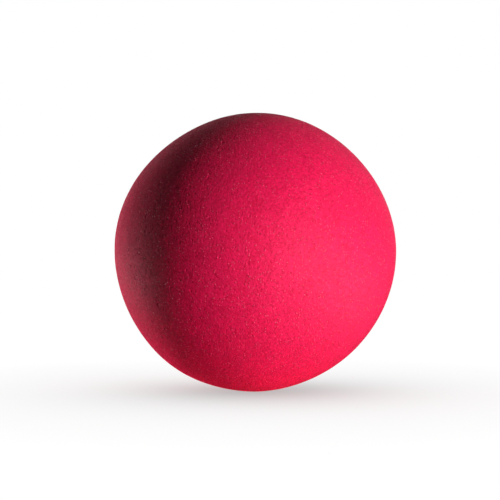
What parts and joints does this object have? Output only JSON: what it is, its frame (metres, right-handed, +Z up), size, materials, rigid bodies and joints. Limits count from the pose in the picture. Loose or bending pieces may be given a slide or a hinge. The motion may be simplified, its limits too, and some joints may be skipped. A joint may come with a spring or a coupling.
{
  "type": "foam dodgeball",
  "caption": "Round foam dodgeball: a soft cellular foam core bonded inside a thin, dense, fine-grained red skin, with no valve or seam.",
  "frame": {"origin": "centre of the ball", "axes": "+Z up; the ball is the same about every axis, and -Y faces the picture's camera"},
  "size_m": [0.2159, 0.2158, 0.216],
  "materials": {
    "core_foam": "matte",
    "skin_foam": "matte"
  },
  "bodies": {
    "root": {"foam_core": "core_foam", "outer_skin": "skin_foam"}
  },
  "joints": []
}
